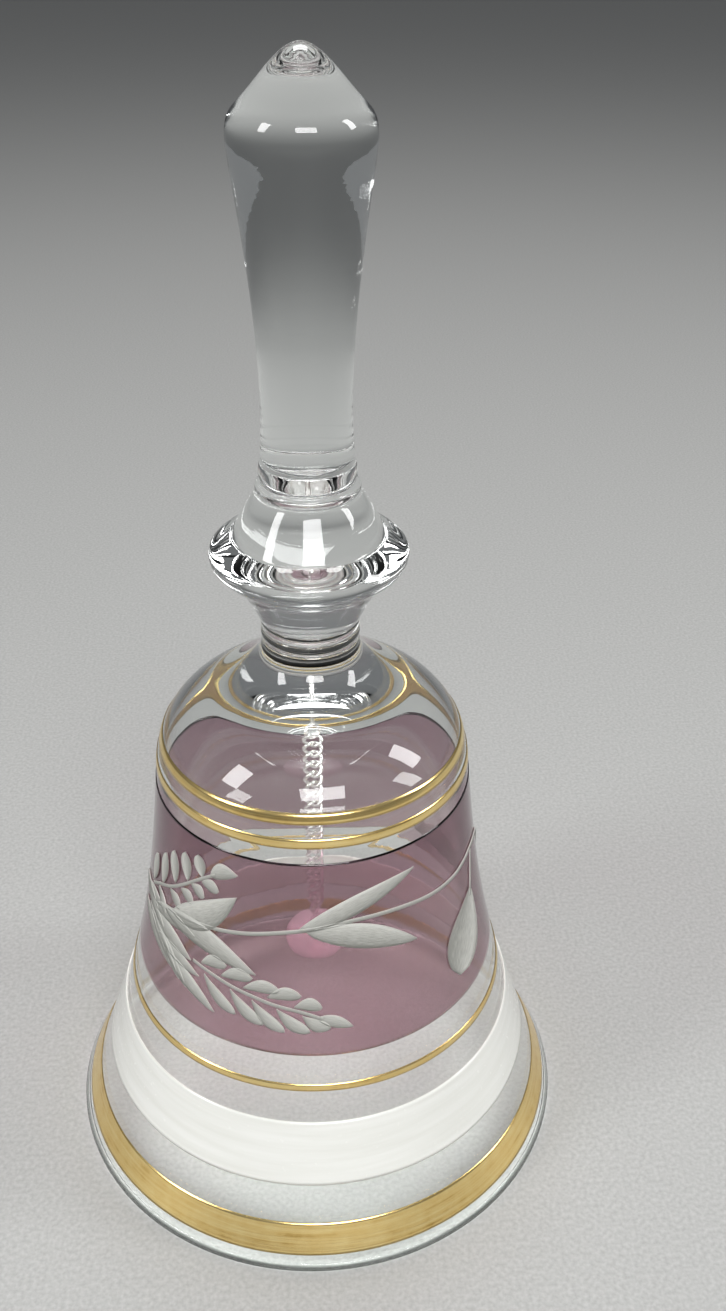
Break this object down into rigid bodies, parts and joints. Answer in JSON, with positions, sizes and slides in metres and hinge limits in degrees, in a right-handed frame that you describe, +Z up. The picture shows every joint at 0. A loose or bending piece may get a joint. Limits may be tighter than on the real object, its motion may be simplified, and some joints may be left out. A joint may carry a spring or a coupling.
{
  "type": "glass hand bell",
  "caption": "Glass hand bell with a solid glass handle, a stained and gilded flared cup, and a glass bead clapper on a fine chain.",
  "frame": {"origin": "centre of the ground rim face, on the bell's axis", "axes": "+Z up along the bell's axis from the rim to the handle's point; +X and +Y across the rim"},
  "size_m": [0.0796, 0.0796, 0.162],
  "materials": {
    "clear_glass": "polished",
    "amethyst_glass": "polished",
    "white_enamel": "gloss",
    "fired_gold": "satin",
    "plated_wire": "polished",
    "pink_glass": "polished"
  },
  "bodies": {
    "bell": {"bell_cup": "clear_glass", "amethyst_stain": "amethyst_glass", "enamel_band": "white_enamel", "rim_gilt_band": "fired_gold", "waist_gilt_line": "fired_gold", "lower_shoulder_line": "fired_gold", "upper_shoulder_line": "fired_gold", "handle_neck": "clear_glass", "handle_knop": "clear_glass", "handle_collar": "clear_glass", "handle_grip": "clear_glass", "clapper_eye": "plated_wire"},
    "chain_link_01": {"chain_link_01": "plated_wire"},
    "chain_link_02": {"chain_link_02": "plated_wire"},
    "chain_link_03": {"chain_link_03": "plated_wire"},
    "chain_link_04": {"chain_link_04": "plated_wire"},
    "chain_link_05": {"chain_link_05": "plated_wire"},
    "chain_link_06": {"chain_link_06": "plated_wire"},
    "chain_link_07": {"chain_link_07": "plated_wire"},
    "chain_link_08": {"chain_link_08": "plated_wire"},
    "chain_link_09": {"chain_link_09": "plated_wire"},
    "chain_link_10": {"chain_link_10": "plated_wire"},
    "chain_link_11": {"chain_link_11": "plated_wire"},
    "chain_link_12": {"chain_link_12": "plated_wire"},
    "chain_link_13": {"chain_link_13": "plated_wire"},
    "chain_link_14": {"chain_link_14": "plated_wire"},
    "chain_link_15": {"chain_link_15": "plated_wire"},
    "chain_link_16": {"chain_link_16": "plated_wire"},
    "chain_link_17": {"chain_link_17": "plated_wire"},
    "chain_link_18": {"chain_link_18": "plated_wire"},
    "chain_link_19": {"chain_link_19": "plated_wire"},
    "bead_pin": {"bead_pin": "plated_wire"},
    "clapper_bead": {"clapper_bead": "pink_glass"}
  },
  "joints": [
    {"name": "swing_01", "type": "hinge", "parent": "bell", "child": "chain_link_01", "pos_m": [0, 0, 0.0716], "axis": [0.7071, 0.7071, 0], "range_deg": [-24, 24]},
    {"name": "swing_02", "type": "hinge", "parent": "chain_link_01", "child": "chain_link_02", "pos_m": [0, 0, 0.0698], "axis": [-0.7071, 0.7071, 0], "range_deg": [-24, 24]},
    {"name": "swing_03", "type": "hinge", "parent": "chain_link_02", "child": "chain_link_03", "pos_m": [0, 0, 0.068], "axis": [-0.7071, -0.7071, 0], "range_deg": [-24, 24]},
    {"name": "swing_04", "type": "hinge", "parent": "chain_link_03", "child": "chain_link_04", "pos_m": [0, 0, 0.0662], "axis": [0.7071, -0.7071, 0], "range_deg": [-24, 24]},
    {"name": "swing_05", "type": "hinge", "parent": "chain_link_04", "child": "chain_link_05", "pos_m": [0, 0, 0.0644], "axis": [0.7071, 0.7071, 0], "range_deg": [-24, 24]},
    {"name": "swing_06", "type": "hinge", "parent": "chain_link_05", "child": "chain_link_06", "pos_m": [0, 0, 0.0626], "axis": [-0.7071, 0.7071, 0], "range_deg": [-24, 24]},
    {"name": "swing_07", "type": "hinge", "parent": "chain_link_06", "child": "chain_link_07", "pos_m": [0, 0, 0.0608], "axis": [-0.7071, -0.7071, 0], "range_deg": [-24, 24]},
    {"name": "swing_08", "type": "hinge", "parent": "chain_link_07", "child": "chain_link_08", "pos_m": [0, 0, 0.059], "axis": [0.7071, -0.7071, 0], "range_deg": [-24, 24]},
    {"name": "swing_09", "type": "hinge", "parent": "chain_link_08", "child": "chain_link_09", "pos_m": [0, 0, 0.0572], "axis": [0.7071, 0.7071, 0], "range_deg": [-24, 24]},
    {"name": "swing_10", "type": "hinge", "parent": "chain_link_09", "child": "chain_link_10", "pos_m": [0, 0, 0.0554], "axis": [-0.7071, 0.7071, 0], "range_deg": [-24, 24]},
    {"name": "swing_11", "type": "hinge", "parent": "chain_link_10", "child": "chain_link_11", "pos_m": [0, 0, 0.0536], "axis": [-0.7071, -0.7071, 0], "range_deg": [-24, 24]},
    {"name": "swing_12", "type": "hinge", "parent": "chain_link_11", "child": "chain_link_12", "pos_m": [0, 0, 0.0518], "axis": [0.7071, -0.7071, 0], "range_deg": [-24, 24]},
    {"name": "swing_13", "type": "hinge", "parent": "chain_link_12", "child": "chain_link_13", "pos_m": [0, 0, 0.05], "axis": [0.7071, 0.7071, 0], "range_deg": [-24, 24]},
    {"name": "swing_14", "type": "hinge", "parent": "chain_link_13", "child": "chain_link_14", "pos_m": [0, 0, 0.0482], "axis": [-0.7071, 0.7071, 0], "range_deg": [-24, 24]},
    {"name": "swing_15", "type": "hinge", "parent": "chain_link_14", "child": "chain_link_15", "pos_m": [0, 0, 0.0464], "axis": [-0.7071, -0.7071, 0], "range_deg": [-24, 24]},
    {"name": "swing_16", "type": "hinge", "parent": "chain_link_15", "child": "chain_link_16", "pos_m": [0, 0, 0.0446], "axis": [0.7071, -0.7071, 0], "range_deg": [-24, 24]},
    {"name": "swing_17", "type": "hinge", "parent": "chain_link_16", "child": "chain_link_17", "pos_m": [0, 0, 0.0428], "axis": [0.7071, 0.7071, 0], "range_deg": [-24, 24]},
    {"name": "swing_18", "type": "hinge", "parent": "chain_link_17", "child": "chain_link_18", "pos_m": [0, 0, 0.041], "axis": [-0.7071, 0.7071, 0], "range_deg": [-24, 24]},
    {"name": "swing_19", "type": "hinge", "parent": "chain_link_18", "child": "chain_link_19", "pos_m": [0, 0, 0.0392], "axis": [-0.7071, -0.7071, 0], "range_deg": [-24, 24]},
    {"name": "pin_swing", "type": "hinge", "parent": "chain_link_19", "child": "bead_pin", "pos_m": [0, 0, 0.0374], "axis": [0.7071, -0.7071, 0], "range_deg": [-24, 24]},
    {"name": "bead_spin", "type": "hinge", "parent": "bead_pin", "child": "clapper_bead", "pos_m": [0, 0, 0.0312], "axis": [0, 0, 1], "continuous": true}
  ]
}
